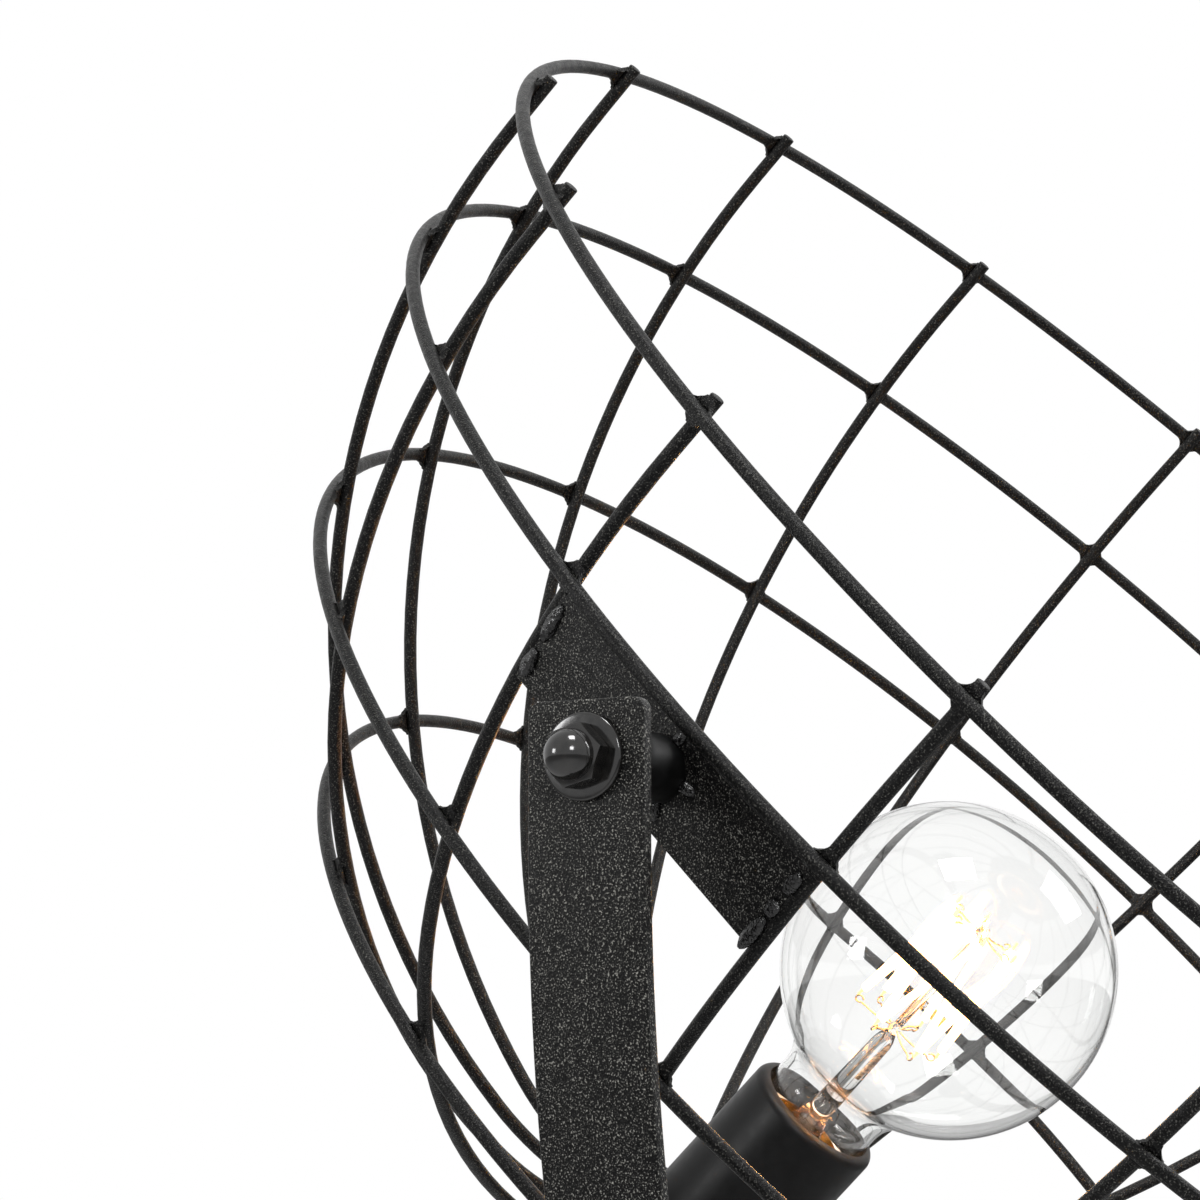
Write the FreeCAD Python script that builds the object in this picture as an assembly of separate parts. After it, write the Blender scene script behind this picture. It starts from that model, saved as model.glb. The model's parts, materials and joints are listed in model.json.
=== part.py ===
import FreeCAD, Part
import math
import os
from FreeCAD import Placement, Rotation, Vector

# Floor lamp with an open wire cage for a shade, in millimetres, +Z up.
# The origin is the centre of the underside of the base. The cage tilts in a fork
# on a round pole. Its opening faces -Y and up. The fork's two arms are at +X and -X.

# ---- Cage ----
rim_diameter = 500.0        # centreline of the rim ring
wire_diameter = 3.8
rib_count = 16
rib_overrun = 5.0           # rib ends standing past the rim ring's centreline
rim_straight = 10.7         # straight length of a rib below the rim
crown_offset = 10.0         # distance of the bowl arc's centre from the cage axis
ring_angles = (9.7, 28.3, 47.6)   # of the three lower rings, down the bowl's arc, degrees
rib_blend_angle = 15.0      # last part of the arc, where a rib turns flat under the hub
rib_end_radius = 22.0       # where the ribs stop, round the cord's way out
hub_diameter = 88.0
hub_thickness = 2.0
hub_bore = 10.4
weld_gap = 0.1              # between a welded piece and what it is welded to

# ---- Tilt pivot ----
pivot_drop = 66.5           # from the rim's plane to the tilt axis
rest_tilt = 46.5            # of the cage axis from straight up, as it stands, degrees
pivot_plate_height = 26.0
pivot_plate_thickness = 3.0
boss_diameter = 16.0
boss_inner_stand = 4.0      # of the boss inside the pivot plate
pivot_bolt_diameter = 8.0
pivot_bolt_head_width = 13.0
pivot_bolt_head_height = 5.3
pivot_running_gap = 0.1     # round the pivot bolt, radial
friction_washer_diameter = 18.0
friction_washer_thickness = 1.0
outer_washer_diameter = 20.0
outer_washer_thickness = 1.6
acorn_width = 13.0          # across the flats
acorn_hex_height = 4.6
acorn_dome_radius = 5.9
acorn_height = 10.9
acorn_bore_depth = 8.0

# ---- Fork ----
arm_gap = 15.5              # from the rim ring's centreline to an arm's inner face
bar_width = 30.0
bar_thickness = 4.0
arm_top = 13.0              # above the tilt axis
arm_corner_radius = 3.0
arm_straight = 20.0         # below the tilt axis
arm_radius = 412.5          # outer radius of the arm's long curve
shoulder_radius = 190.0     # outer radius of the tighter curve below it
seat_half_length = 20.0     # of the flat where the fork sits on the pole

# ---- Pole and base ----
pole_diameter = 25.0
pole_wall = 1.5
pole_length = 930.0
insert_length = 25.0
insert_gap = 0.05
stand_bolt_diameter = 10.0
stand_bolt_length = 22.0    # under the head
stand_bolt_head_width = 17.0
stand_bolt_head_height = 6.4
stand_bolt_gap = 0.25       # round the bolts in the fork and the base, radial
base_diameter = 300.0
base_thickness = 10.0
base_chamfer = 1.5
recess_diameter = 22.0      # under the base, for the lower bolt's head
recess_depth = 7.0
pad_thickness = 2.0
pad_inset = 3.0             # of the pad's edge from the base's edge

# ---- Lampholder ----
holder_diameter = 42.0
holder_length = 59.5
holder_wall = 1.5
holder_lip = 3.0
core_gap = 0.2
core_length = 48.0
socket_diameter = 28.4
socket_depth = 27.0
core_pocket_diameter = 20.0
core_pocket_depth = 8.0
screw_shell_wall = 0.6
screw_shell_length = 24.0
contact_width = 6.0
contact_thickness = 0.6
contact_reach = 12.0        # of the bent contact from the axis
nipple_diameter = 10.0
nipple_wall = 1.5
nipple_nut_width = 14.0
nipple_nut_height = 4.0
thread_gap = 0.05           # between a screw and the thread round it
gland_diameter = 16.0
gland_length = 14.0
gland_tip_diameter = 11.0
gland_bore = 7.0

# ---- Bulb ----
bulb_diameter = 96.0
bulb_centre_rise = 57.5     # of the globe's centre above the lampholder's mouth
bulb_length = 139.0
glass_wall = 0.9
neck_diameter = 34.5
neck_flare_radius = 12.0
neck_taper = 5.5            # height over which the neck narrows to the cap
cap_diameter = 26.2
cap_wall = 0.3
cap_length = 26.0           # with its tip
cap_glass_overlap = 6.0     # of the glass inside the cap
cap_insulator_height = 5.0
cap_tip_diameter = 9.0
stem_radius = 3.2
stem_foot_height = 14.0
stem_rod_radius = 1.2
filament_hooks = 6          # along each end of the zigzag
filament_low_radius = 14.5
filament_low_rise = 35.0    # above the lampholder's mouth
filament_high_radius = 12.0
filament_high_rise = 75.0
filament_diameter = 0.9
support_diameter = 0.7

# ---- Flat sides that stand in for round ones on thin wires and small turned pieces ----
wire_sides = 4
largest_bend = 7.5          # turn between two straight runs of a bent wire, degrees
turned_sides = 20
dome_sides = 12


# ---- Shapes used more than once ----
def cylinder(diameter, length, base=(0, 0, 0), axis=(0, 0, 1)):
    return Part.makeCylinder(diameter / 2, length, Vector(*base), Vector(*axis))


def tube(outer, inner, length, base=(0, 0, 0), axis=(0, 0, 1)):
    return cylinder(outer, length, base, axis).cut(cylinder(inner, length, base, axis))


def flat_face(points):
    """A face through the points, or None where they fold together on a turning axis."""
    corners = [p for i, p in enumerate(points) if not p.isEqual(points[i - 1], 1e-6)]
    return Part.Face(Part.makePolygon(corners + corners[:1])) if len(corners) > 2 else None


def flat_sided(sections, closed=False):
    """A solid with flat faces between each section and the next."""
    faces = [] if closed else [flat_face(sections[0]), flat_face(sections[-1])]
    following = sections[1:] + sections[:1] if closed else sections[1:]
    for here, there in zip(sections, following):
        for i in range(len(here)):
            faces.append(flat_face([here[i - 1], here[i], there[i], there[i - 1]]))
    shell = Part.Shell([f for f in faces if f])
    shell.sewShape()
    solid = Part.Solid(shell)
    if solid.Volume < 0:
        solid.reverse()
    return solid


def section(sides, width, centre, normal, flat_direction):
    """The corners of a regular section, width across its flats, one of which faces flat_direction."""
    across = normal.cross(flat_direction).normalize()
    corner = width / 2 / math.cos(math.pi / sides)
    turns = [math.pi * (2 * i + 1) / sides for i in range(sides)]
    return [centre + flat_direction * (corner * math.cos(t)) + across * (corner * math.sin(t)) for t in turns]


def straight_bar(sides, width, start, end, flat_direction):
    along = (end - start).normalize()
    return flat_sided([section(sides, width, p, along, flat_direction) for p in (start, end)])


def turned(outline, sides=turned_sides):
    """A many-sided solid turned about Z from its (radius, height) outline."""
    turns = [2 * math.pi * i / sides for i in range(sides)]
    return flat_sided([[Vector(r * math.cos(t), r * math.sin(t), z) for r, z in outline] for t in turns],
                      closed=True)


def arc_points(centre, radius, start, end, steps):
    """Points of an arc in an outline, between two angles in degrees from level."""
    angles = [math.radians(start + (end - start) * i / steps) for i in range(steps + 1)]
    return [(centre[0] + radius * math.cos(a), centre[1] + radius * math.sin(a)) for a in angles]


def both_sides(shape):
    """A piece made at +X, and its mirror image at -X."""
    return [shape, shape.mirror(Vector(0, 0, 0), Vector(1, 0, 0))]


def joined(first, *others):
    return first.fuse(list(others)).removeSplitter()


# ---- Places in the cage's own frame: its axis is Z and the tilt axis is X ----
rim_radius = rim_diameter / 2
rim_z = pivot_drop
bowl_z = rim_z - rim_straight
ring_arc_radius = rim_radius - crown_offset
rib_radius = rim_radius - wire_diameter
rib_arc_radius = rib_radius - crown_offset
half_pitch = 180 / rib_count
hub_radius = hub_diameter / 2

blend_start = 90 - rib_blend_angle
blend_start_cos = math.cos(math.radians(blend_start))
blend_start_sin = math.sin(math.radians(blend_start))
flat_start = hub_radius + wire_diameter / 4
blend_radius = (crown_offset + rib_arc_radius * blend_start_cos - flat_start) / blend_start_cos
flat_z = bowl_z - rib_arc_radius * blend_start_sin - blend_radius * (1 - blend_start_sin)
hub_z = flat_z + wire_diameter / 2
holder_z = hub_z + hub_thickness
mouth_z = holder_z + holder_length

stand_height = pad_thickness + base_thickness
pole_top = stand_height + pole_length
arm_reach = rim_radius + arm_gap + bar_thickness
arm_centre_x = arm_reach - arm_radius
shoulder_turn = math.acos((seat_half_length - arm_centre_x) / (arm_radius - shoulder_radius))
fork_depth = arm_straight + (arm_radius - shoulder_radius) * math.sin(shoulder_turn) + shoulder_radius
pivot_height = pole_top + fork_depth

boss_end = arm_reach - bar_thickness - friction_washer_thickness
pivot_bore = pivot_bolt_diameter + 2 * pivot_running_gap
nut_seat = arm_reach + outer_washer_thickness


# ---- Cage ----
def make_ring(radius, height, outward):
    """A hoop whose wire has a flat facing outward. The ribs touch it midway along its runs."""
    runs = math.ceil(2 * half_pitch / largest_bend)
    step = 2 * half_pitch / runs
    out_of_round = 1 / math.cos(math.radians(step / 2))
    corners = section(wire_sides, wire_diameter, Vector(radius, 0, height), Vector(0, 1, 0), outward)
    sections = []
    for number in range(rib_count * runs):
        turn = math.radians(half_pitch + step * (number + 0.5))
        r = [p.x * out_of_round for p in corners]
        sections.append([Vector(x * math.cos(turn), x * math.sin(turn), p.z) for x, p in zip(r, corners)])
    return flat_sided(sections, closed=True)


def make_rim_ring():
    return make_ring(rim_radius, rim_z, Vector(1, 0, 0))


def make_bowl_ring(angle):
    turn = math.radians(angle)
    outward = Vector(math.cos(turn), 0, -math.sin(turn))
    centre = Vector(crown_offset, 0, bowl_z) + outward * ring_arc_radius
    return make_ring(centre.x, centre.z, outward)


def bend_angles(*stops):
    """Angles from stop to stop in even steps, none over the largest bend."""
    angles = [stops[0]]
    for start, end in zip(stops, stops[1:]):
        steps = math.ceil((end - start) / largest_bend)
        angles += [start + (end - start) * (i + 1) / steps for i in range(steps)]
    return angles


def make_rib(width=wire_diameter):
    """One rib at +X: straight at the rim, down the bowl's arc, then flat under the hub.

    The rib bends at each ring, so that it touches the ring there.
    """
    def across(centre, along, outward):
        return section(wire_sides, width, centre, along, outward)

    def on_bend(centre, radius, angle):
        turn = math.radians(angle)
        outward = Vector(math.cos(turn), 0, -math.sin(turn))
        return across(centre + outward * radius, Vector(-math.sin(turn), 0, -math.cos(turn)), outward)

    arc_centre = Vector(crown_offset, 0, bowl_z)
    outward = Vector(blend_start_cos, 0, -blend_start_sin)
    blend_centre = arc_centre + outward * (rib_arc_radius - blend_radius)
    sections = [across(Vector(rib_radius, 0, rim_z + rib_overrun), Vector(0, 0, -1), Vector(1, 0, 0))]
    sections += [on_bend(arc_centre, rib_arc_radius, a) for a in bend_angles(0, *ring_angles, blend_start)]
    sections += [on_bend(blend_centre, blend_radius, a) for a in bend_angles(blend_start, 90)[1:]]
    sections.append(across(Vector(rib_end_radius, 0, flat_z), Vector(-1, 0, 0), Vector(0, 0, -1)))
    return flat_sided(sections)


def place_rib(rib, number):
    """Turns a rib to its place. The arms lie midway between two ribs."""
    return rib.rotated(Vector(0, 0, 0), Vector(0, 0, 1), half_pitch * (2 * number + 1))


def make_hub_plate():
    bore = hub_bore / 2
    return turned([(bore, hub_z), (hub_radius, hub_z), (hub_radius, holder_z), (bore, holder_z)],
                  sides=2 * turned_sides)


# ---- Tilt pivot, made at +X and mirrored ----
pivot_arc_sin = bowl_z / rib_arc_radius
pivot_rib_r = crown_offset + rib_arc_radius * math.sqrt(1 - pivot_arc_sin ** 2)
plate_x = pivot_rib_r * math.cos(math.radians(half_pitch))
plate_width = 2 * pivot_rib_r * math.sin(math.radians(half_pitch))
plate_lean = math.degrees(math.atan(math.tan(math.asin(pivot_arc_sin)) * math.cos(math.radians(half_pitch))))
boss_start = plate_x - pivot_plate_thickness / 2 - boss_inner_stand


def make_pivot_plate():
    """The flat plate welded between the two ribs beside an arm, leaning as they do."""
    corner = Vector(-pivot_plate_thickness / 2, -plate_width / 2, -pivot_plate_height / 2)
    plate = Part.makeBox(pivot_plate_thickness, plate_width, pivot_plate_height, corner)
    plate.rotate(Vector(0, 0, 0), Vector(0, 1, 0), plate_lean)
    plate.translate(Vector(plate_x, 0, 0))
    rib_room = make_rib(wire_diameter + 2 * weld_gap)
    boss_room = cylinder(boss_diameter + 2 * weld_gap, arm_reach, axis=(1, 0, 0))
    return plate.cut([place_rib(rib_room, 0), place_rib(rib_room, -1), boss_room])


def make_pivot_boss():
    return tube(boss_diameter, pivot_bore, boss_end - boss_start, (boss_start, 0, 0), (1, 0, 0))


def along_x(shape, start):
    """Lays a piece made up Z along +X, from start."""
    return shape.rotated(Vector(0, 0, 0), Vector(0, 1, 0), 90).translated(Vector(start, 0, 0))


def hexagon_bar(width, low, high):
    return straight_bar(6, width, Vector(0, 0, low), Vector(0, 0, high), Vector(1, 0, 0))


def make_pivot_bolt():
    """The bolt from inside the cage, through the boss and the arm, into the acorn nut."""
    length = nut_seat + acorn_bore_depth - thread_gap - boss_start
    head = hexagon_bar(pivot_bolt_head_width, -pivot_bolt_head_height, 0)
    return along_x(joined(cylinder(pivot_bolt_diameter, length), head), boss_start)


def make_acorn_nut():
    dome_z = acorn_height - acorn_dome_radius
    dome = turned([(0, 0)] + arc_points((0, dome_z), acorn_dome_radius, 0, 90, 4),
                  sides=dome_sides)
    nut = joined(hexagon_bar(acorn_width, 0, acorn_hex_height), dome)
    return along_x(nut.cut(cylinder(pivot_bolt_diameter + 2 * thread_gap, acorn_bore_depth)), nut_seat)


def make_friction_washer():
    return along_x(tube(friction_washer_diameter, pivot_bore, friction_washer_thickness), boss_end)


def make_outer_washer():
    return along_x(tube(outer_washer_diameter, pivot_bore, outer_washer_thickness), arm_reach)


# ---- Lampholder ----
holder_radius = holder_diameter / 2
core_z = holder_z + holder_wall
core_top = core_z + core_length
socket_radius = socket_diameter / 2
socket_floor = core_top - socket_depth
pocket_top = core_z + core_pocket_depth
bulb_z = mouth_z + bulb_centre_rise
bulb_tip_z = bulb_z + bulb_diameter / 2 - bulb_length
nipple_top = pocket_top - weld_gap
gland_top = hub_z - nipple_nut_height
nipple_low = gland_top - gland_length / 2
nipple_radius = nipple_diameter / 2
thread_radius = nipple_radius + thread_gap


def make_holder_shell():
    """A plain metal cup whose mouth is rolled inwards."""
    lip_centre = (holder_radius - holder_lip, mouth_z - holder_lip)
    inner = holder_radius - holder_wall
    outline = [(hub_bore / 2, holder_z), (holder_radius, holder_z)]
    outline += arc_points(lip_centre, holder_lip, 0, 90, 3)
    outline += arc_points(lip_centre, holder_lip - holder_wall, 90, 0, 2)
    return turned(outline + [(inner, core_z), (hub_bore / 2, core_z)])


def make_holder_core():
    """The ceramic body, with the socket above and room for the nipple's nut below."""
    outer = holder_radius - holder_wall - core_gap
    pocket = core_pocket_diameter / 2
    bore = contact_width / 2
    return turned([(pocket, core_z), (outer, core_z), (outer, core_top), (socket_radius, core_top),
                   (socket_radius, socket_floor), (bore, socket_floor), (bore, pocket_top),
                   (pocket, pocket_top)])


def make_screw_shell():
    outer = socket_radius - weld_gap
    inner = outer - screw_shell_wall
    low = core_top - screw_shell_length
    return turned([(inner, low), (outer, low), (outer, core_top), (inner, core_top)])


def make_holder_contact():
    """The bent spring strip that the bulb's tip presses on."""
    rise = bulb_tip_z - socket_floor
    fold = 2 * contact_thickness
    outline = [(contact_reach, 0), (contact_reach, contact_thickness),
               (contact_reach - fold, contact_thickness), (contact_thickness, rise),
               (-contact_width / 2, rise), (-contact_width / 2, rise - contact_thickness),
               (0, rise - contact_thickness), (contact_reach - fold - contact_thickness, 0)]
    edges = (-contact_width / 2, contact_width / 2)
    return flat_sided([[Vector(x, y, socket_floor + z) for x, z in outline] for y in edges])


def make_hollow_nipple():
    """The threaded tube that holds the lampholder to the hub and lets the cord in."""
    bore = nipple_radius - nipple_wall
    return turned([(bore, nipple_low), (nipple_radius, nipple_low), (nipple_radius, nipple_top),
                   (bore, nipple_top)])


def make_nipple_nuts():
    """One nut inside the lampholder and one under the hub."""
    nuts = [hexagon_bar(nipple_nut_width, z, z + nipple_nut_height) for z in (core_z, gland_top)]
    return [nut.cut(turned([(0, nipple_low), (thread_radius, nipple_low), (thread_radius, mouth_z),
                            (0, mouth_z)])) for nut in nuts]


def make_cord_gland():
    """The moulded collar that the cord would come through."""
    outer = gland_diameter / 2
    tip = gland_tip_diameter / 2
    bore = gland_bore / 2
    low = gland_top - gland_length
    return turned([(bore, low), (tip, low), (outer, low + gland_length / 3), (outer, gland_top),
                   (thread_radius, gland_top), (thread_radius, nipple_low), (bore, nipple_low)])


# ---- Bulb ----
cap_radius = cap_diameter / 2
cap_low = bulb_tip_z + cap_insulator_height
cap_top = bulb_tip_z + cap_length
glass_foot_radius = cap_radius - cap_wall - weld_gap


def glass_outline(inset):
    """The glass from inside the cap up to the crown, drawn inset from its outside."""
    globe = bulb_diameter / 2 - inset
    flare = neck_flare_radius + inset
    neck = neck_diameter / 2 - inset
    foot = glass_foot_radius - inset
    meet = math.degrees(math.acos((neck + flare) / (globe + flare)))
    flare_z = bulb_z - (globe + flare) * math.sin(math.radians(meet))
    outline = [(foot, cap_top - cap_glass_overlap), (foot, cap_top), (neck, cap_top + neck_taper)]
    outline += arc_points((neck + flare, flare_z), flare, 180, 180 - meet, 2)
    outline += arc_points((0, bulb_z), globe, -meet, 90, 9)[1:-1]
    return outline + [(0, bulb_z + globe)]


def make_bulb_glass():
    return turned(glass_outline(0) + glass_outline(glass_wall)[::-1])


def make_bulb_cap():
    """The screw cap, a thin metal tube round the foot of the glass."""
    inner = cap_radius - cap_wall
    return turned([(inner, cap_low), (cap_radius, cap_low), (cap_radius, cap_top), (inner, cap_top)])


def make_bulb_contact():
    """The dark insulator that closes the cap, with the tip at its end."""
    tip = cap_tip_diameter / 2
    rim = cap_radius - cap_wall - weld_gap
    return turned([(0, bulb_tip_z), (tip, bulb_tip_z), (tip, bulb_tip_z + 1),
                   (rim, cap_low - 1), (rim, cap_low + 1), (0, cap_low + 1)])


filament_low_z = mouth_z + filament_low_rise
filament_high_z = mouth_z + filament_high_rise
rod_top = filament_high_z - 2 * filament_diameter
low_support_z = filament_low_z - filament_diameter
high_support_z = filament_high_z - 3 * filament_diameter
high_support_reach = filament_high_radius - filament_diameter * math.sqrt(0.5)
press_z = low_support_z - support_diameter - stem_radius


def make_bulb_stem():
    """The glass stem: a flared foot in the neck, a narrow tube and the rod above it."""
    foot = glass_foot_radius - glass_wall - weld_gap
    foot_z = cap_top - cap_glass_overlap
    return turned([(0, foot_z), (foot, foot_z), (foot, foot_z + 1), (stem_radius, foot_z + stem_foot_height),
                   (stem_radius, press_z), (stem_rod_radius, press_z + stem_radius),
                   (stem_rod_radius, rod_top), (0, rod_top)])


def hook_places(radius, height, first):
    turns = [math.pi * (2 * i + first) / filament_hooks for i in range(filament_hooks)]
    return [Vector(radius * math.cos(t), radius * math.sin(t), height) for t in turns]


low_hooks = hook_places(filament_low_radius, filament_low_z, 0)
high_hooks = hook_places(filament_high_radius, filament_high_z, 1)


def make_bulb_supports():
    """Wires out from the rod, under the filament's low bends and inside its high ones."""
    wires = []
    for hooks, reach, height in ((low_hooks, filament_low_radius, low_support_z),
                                 (high_hooks, high_support_reach, high_support_z)):
        for hook in hooks:
            outward = Vector(hook.x, hook.y, 0).normalize()
            start = Vector(0, 0, height) + outward * stem_rod_radius
            end = Vector(0, 0, height) + outward * reach
            wires.append(straight_bar(wire_sides, support_diameter, start, end, Vector(0, 0, 1)))
    return wires


def make_bulb_filament():
    """The zigzag between the low and high bends, open between two of them."""
    ends = [p for pair in zip(low_hooks, high_hooks) for p in pair]
    legs = []
    for low, high in zip(ends, ends[1:]):
        outward = Vector(low.x + high.x, low.y + high.y, 0).normalize()
        legs.append(straight_bar(wire_sides, filament_diameter, low, high, outward))
    return legs


# ---- Fork ----
def fork_face(inset, side):
    """One arm's face, from its top down to the seat, as points for lines and arcs."""
    long_centre = Vector(arm_centre_x, 0, -arm_straight)
    tight_centre = Vector(seat_half_length, 0, shoulder_radius - fork_depth)
    seat_turn = math.pi / 2

    def on_arc(centre, radius, turn):
        return centre + Vector(math.cos(turn), 0, -math.sin(turn)) * (radius - inset)

    points = [Vector(arm_reach - inset, 0, arm_top),
              on_arc(long_centre, arm_radius, 0),
              on_arc(long_centre, arm_radius, shoulder_turn / 2),
              on_arc(long_centre, arm_radius, shoulder_turn),
              on_arc(tight_centre, shoulder_radius, (shoulder_turn + seat_turn) / 2),
              on_arc(tight_centre, shoulder_radius, seat_turn)]
    return [Vector(side * p.x, 0, p.z) for p in points]


def make_fork():
    """The flat bar bent into a fork, with its pivot holes and the hole in its seat."""
    faces = [[fork_face(inset, side) for side in (1, -1)] for inset in (0, bar_thickness)]
    edges = []
    for right, left in faces:
        for p in (right, left):
            edges += [Part.LineSegment(p[0], p[1]), Part.Arc(p[1], p[2], p[3]), Part.Arc(p[3], p[4], p[5])]
        edges.append(Part.LineSegment(right[-1], left[-1]))
    edges += [Part.LineSegment(outer[0], inner[0]) for outer, inner in zip(*faces)]
    outline = Part.Wire(Part.__sortEdges__([e.toShape() for e in edges]))
    bar = Part.Face(outline).extrude(Vector(0, bar_width, 0)).translated(Vector(0, -bar_width / 2, 0))
    top_edges = [e for e in bar.Edges if e.BoundBox.ZMin > arm_top - 1 and e.BoundBox.YLength < 1]
    bar = bar.makeFillet(arm_corner_radius, top_edges)
    pivot_holes = cylinder(pivot_bore, 2 * arm_reach, (-arm_reach, 0, 0), (1, 0, 0))
    seat_hole = cylinder(stand_bolt_diameter + 2 * stand_bolt_gap, shoulder_radius, (0, 0, -fork_depth))
    return bar.cut([pivot_holes, seat_hole]).translated(Vector(0, 0, pivot_height))


# ---- Pole and base ----
def make_pole():
    return tube(pole_diameter, pole_diameter - 2 * pole_wall, pole_length, (0, 0, stand_height))


def make_pole_inserts():
    """The threaded plugs fixed in the two ends of the pole."""
    outer = pole_diameter - 2 * pole_wall - 2 * insert_gap
    plug = tube(outer, stand_bolt_diameter + 2 * thread_gap, insert_length)
    return [plug.translated(Vector(0, 0, z)) for z in (stand_height, pole_top - insert_length)]


def make_stand_bolts():
    """The bolt down through the fork's seat and the one up through the base."""
    head = hexagon_bar(stand_bolt_head_width, -stand_bolt_head_height, 0)
    bolt = joined(cylinder(stand_bolt_diameter, stand_bolt_length), head)
    upper = bolt.rotated(Vector(0, 0, 0), Vector(1, 0, 0), 180)
    return [upper.translated(Vector(0, 0, pole_top + bar_thickness)),
            bolt.translated(Vector(0, 0, pad_thickness + recess_depth))]


def make_base_plate():
    """The round foot, bevelled at its top edge and recessed below for the bolt's head."""
    disc = cylinder(base_diameter, base_thickness, (0, 0, pad_thickness))
    top_edge = [e for e in disc.Edges if e.BoundBox.ZMin > stand_height - base_chamfer]
    disc = disc.makeChamfer(base_chamfer, top_edge)
    hole = cylinder(stand_bolt_diameter + 2 * stand_bolt_gap, stand_height)
    recess = cylinder(recess_diameter, recess_depth, (0, 0, pad_thickness))
    return disc.cut([hole, recess])


def make_base_pad():
    return cylinder(base_diameter - 2 * pad_inset, pad_thickness)


# ---- Every piece, by the name of its file ----
def head_pieces():
    """The pieces that tilt, in the cage's own frame."""
    pieces = {"rim_ring": [make_rim_ring()]}
    for name, angle in zip(("upper", "middle", "lower"), ring_angles):
        pieces[f"cage_ring_{name}"] = [make_bowl_ring(angle)]
    rib = make_rib()
    for number in range(rib_count):
        pieces[f"cage_rib_{number + 1:02d}"] = [place_rib(rib, number)]
    pieces["hub_plate"] = [make_hub_plate()]
    for name, side in zip(("right", "left"), both_sides(make_pivot_plate())):
        pieces[f"pivot_plate_{name}"] = [side]
    pieces["pivot_bosses"] = both_sides(make_pivot_boss())
    pieces["pivot_bolts"] = both_sides(make_pivot_bolt())
    pieces["acorn_nuts"] = both_sides(make_acorn_nut())
    pieces["lampholder_shell"] = [make_holder_shell()]
    pieces["lampholder_core"] = [make_holder_core()]
    pieces["lampholder_screw_shell"] = [make_screw_shell()]
    pieces["lampholder_contact"] = [make_holder_contact()]
    pieces["hollow_nipple"] = [make_hollow_nipple()]
    pieces["nipple_nuts"] = make_nipple_nuts()
    pieces["cord_gland"] = [make_cord_gland()]
    pieces["bulb_glass"] = [make_bulb_glass()]
    pieces["bulb_cap"] = [make_bulb_cap()]
    pieces["bulb_contact"] = [make_bulb_contact()]
    pieces["bulb_stem"] = [make_bulb_stem()]
    pieces["bulb_supports"] = make_bulb_supports()
    pieces["bulb_filament"] = [joined(*make_bulb_filament())]
    return pieces


def stand_pieces():
    """The pieces that stay still."""
    at_pivot = Vector(0, 0, pivot_height)
    return {
        "fork": [make_fork()],
        "friction_washers": [p.translated(at_pivot) for p in both_sides(make_friction_washer())],
        "outer_washers": [p.translated(at_pivot) for p in both_sides(make_outer_washer())],
        "pole": [make_pole()],
        "pole_inserts": make_pole_inserts(),
        "stand_bolts": make_stand_bolts(),
        "base_plate": [make_base_plate()],
        "base_pad": [make_base_pad()],
    }


def at_rest(shape):
    """Carries a piece from the cage's own frame to where it stands."""
    tilt = Rotation(Vector(1, 0, 0), rest_tilt)
    return shape.transformed(Placement(Vector(0, 0, pivot_height), tilt).toMatrix())


def main():
    os.makedirs("parts", exist_ok=True)
    pieces = {name: [at_rest(s) for s in solids] for name, solids in head_pieces().items()}
    pieces.update(stand_pieces())
    for name, solids in pieces.items():
        shape = solids[0] if len(solids) == 1 else Part.makeCompound(solids)
        shape.exportStep(f"parts/{name}.step")
    print(f"{len(pieces)} pieces, tilt axis at {pivot_height:.1f} mm")


main()
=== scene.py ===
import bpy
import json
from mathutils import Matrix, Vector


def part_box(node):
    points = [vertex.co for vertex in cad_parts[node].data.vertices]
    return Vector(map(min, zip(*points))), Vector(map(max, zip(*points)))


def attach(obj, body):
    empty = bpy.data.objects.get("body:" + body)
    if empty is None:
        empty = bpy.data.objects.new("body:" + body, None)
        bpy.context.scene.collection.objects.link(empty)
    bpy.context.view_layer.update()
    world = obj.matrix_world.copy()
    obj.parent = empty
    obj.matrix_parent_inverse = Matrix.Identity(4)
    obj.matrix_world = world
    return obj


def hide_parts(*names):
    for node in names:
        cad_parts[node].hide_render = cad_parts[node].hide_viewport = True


bl_info = {
    "name": "Wire Cage Floor Lamp",
    "version": (1, 0, 0),
    "blender": (4, 5, 0),
    "location": "View3D > Sidebar > Floor Lamp",
    "description": "Models and finishes a floor lamp with an open wire cage that tilts in a fork",
    "category": "Object",
}

import bmesh
import bpy
import json
from math import acos, cos, degrees, pi, radians, sin, sqrt
from bpy.props import FloatProperty, FloatVectorProperty, IntProperty, PointerProperty
from mathutils import Matrix, Vector

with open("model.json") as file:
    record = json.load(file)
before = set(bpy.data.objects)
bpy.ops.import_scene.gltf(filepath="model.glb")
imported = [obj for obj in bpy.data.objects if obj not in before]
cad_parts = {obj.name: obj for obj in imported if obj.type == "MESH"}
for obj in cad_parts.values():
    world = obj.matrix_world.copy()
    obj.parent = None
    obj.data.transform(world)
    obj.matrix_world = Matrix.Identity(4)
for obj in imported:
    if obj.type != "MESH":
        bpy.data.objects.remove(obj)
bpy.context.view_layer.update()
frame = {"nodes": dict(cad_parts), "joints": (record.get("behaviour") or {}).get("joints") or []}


def move(x, y, z):
    return Matrix.Translation((x, y, z))


def roll(angle, axis):
    """A turn by an angle in degrees."""
    return Matrix.Rotation(radians(angle), 4, axis)


# The cage's own frame has the tilt axis along X through its origin and the cage axis along +Z.
tilt_joint = frame["joints"][0]
pivot = Vector(tilt_joint["pos_m"])
cage_place = Matrix.Translation(pivot) @ roll(-tilt_joint["range_deg"][0], "X")
standing = Matrix.Identity(4)


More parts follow.
